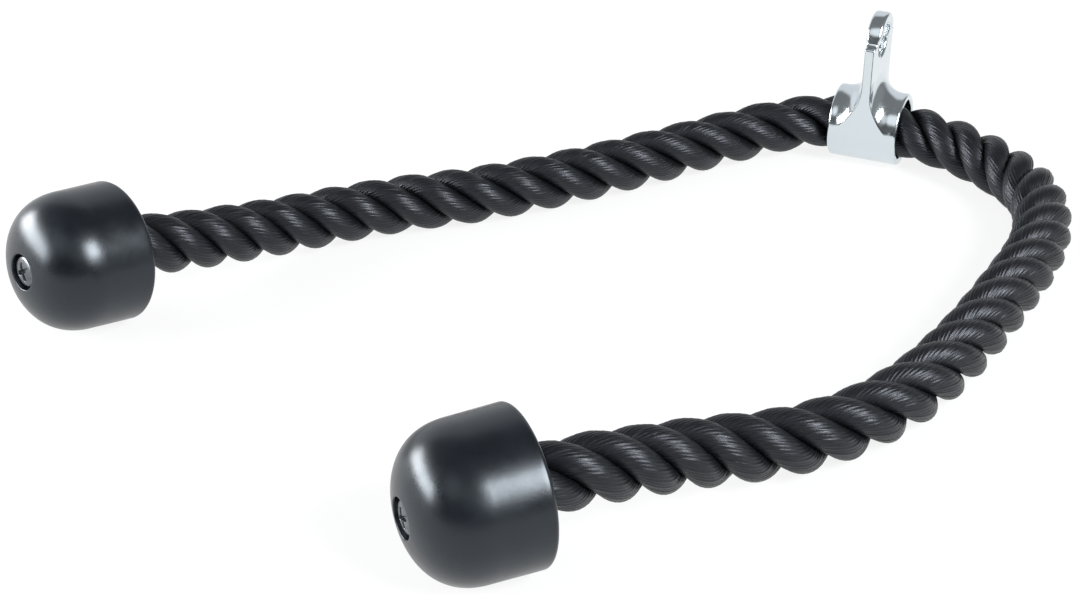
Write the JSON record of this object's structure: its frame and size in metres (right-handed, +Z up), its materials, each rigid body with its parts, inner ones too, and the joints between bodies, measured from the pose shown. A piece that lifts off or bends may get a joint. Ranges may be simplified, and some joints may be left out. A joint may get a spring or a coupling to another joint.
{
  "type": "triceps rope attachment",
  "caption": "Laid rope doubled through a chromed eye bracket, with a domed rubber cap screwed on each rope end.",
  "frame": {"origin": "on the surface the part lies on, within 1 mm of below the middle of the box round the bracket and both caps", "axes": "+Z up from the surface, +X to the right along the rope's longer spread, +Y away from the open side between the caps"},
  "size_m": [0.4595, 0.383, 0.0755],
  "materials": {
    "chrome": "bright chrome plate on cast steel",
    "rope": "black three-strand laid nylon",
    "cap_rubber": "smooth satin black rubber",
    "zinc": "zinc-plated steel"
  },
  "bodies": {
    "rope_centre": {"rope_middle": "rope", "rope_left_bend": "rope", "rope_right_bend": "rope"},
    "bracket": {"bracket": "chrome"},
    "left_arm": {"rope_left_arm": "rope", "left_ferrule": "zinc", "left_cap": "cap_rubber", "left_washer": "zinc", "left_cap_screw": "zinc"},
    "right_arm": {"rope_right_arm": "rope", "right_ferrule": "zinc", "right_cap": "cap_rubber", "right_washer": "zinc", "right_cap_screw": "zinc"}
  },
  "joints": [
    {"name": "bracket_turn", "type": "hinge", "parent": "rope_centre", "child": "bracket", "pos_m": [0.179, 0.169, 0.01765], "axis": [0.9121, -0.4099, 0], "continuous": true},
    {"name": "left_arm_swing", "type": "hinge", "parent": "rope_centre", "child": "left_arm", "pos_m": [0.134, 0.1732, 0.0145], "axis": [0, 0, 1], "range_deg": [-45, 12], "deforming": ["rope_left_bend"]},
    {"name": "right_arm_swing", "type": "hinge", "parent": "rope_centre", "child": "right_arm", "pos_m": [0.2184, 0.1435, 0.0158], "axis": [0, 0, 1], "range_deg": [-10, 45], "deforming": ["rope_right_bend"]}
  ]
}
